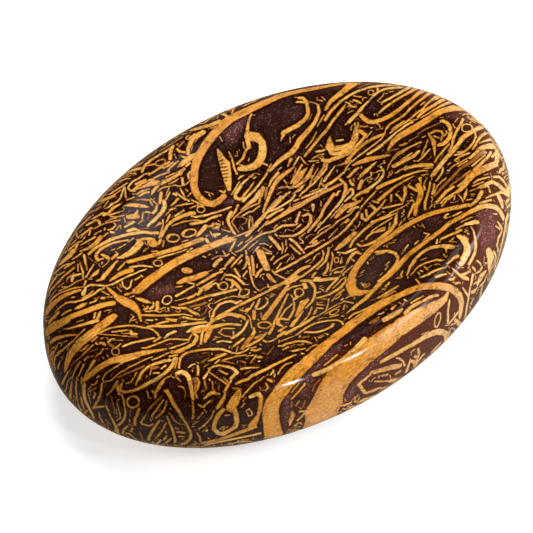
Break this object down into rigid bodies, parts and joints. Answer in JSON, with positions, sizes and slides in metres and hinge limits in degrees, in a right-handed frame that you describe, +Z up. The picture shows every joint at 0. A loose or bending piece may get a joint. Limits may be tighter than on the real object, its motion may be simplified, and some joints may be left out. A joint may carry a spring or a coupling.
{
  "type": "worry stone",
  "caption": "Oval polished jasper worry stone with a thumb hollow ground into its top, a rounded rim and a small flat spot underneath.",
  "frame": {"origin": "centre of the small flat spot that the stone rests on", "axes": "+Z up out of the thumb hollow, +X along the stone's long way, +Y across it"},
  "size_m": [0.045, 0.0306, 0.0082],
  "materials": {
    "jasper": "polished: ochre curls, bars and rings in a near-black brown ground with maroon fields"
  },
  "bodies": {
    "root": {"stone": "jasper"}
  },
  "joints": []
}
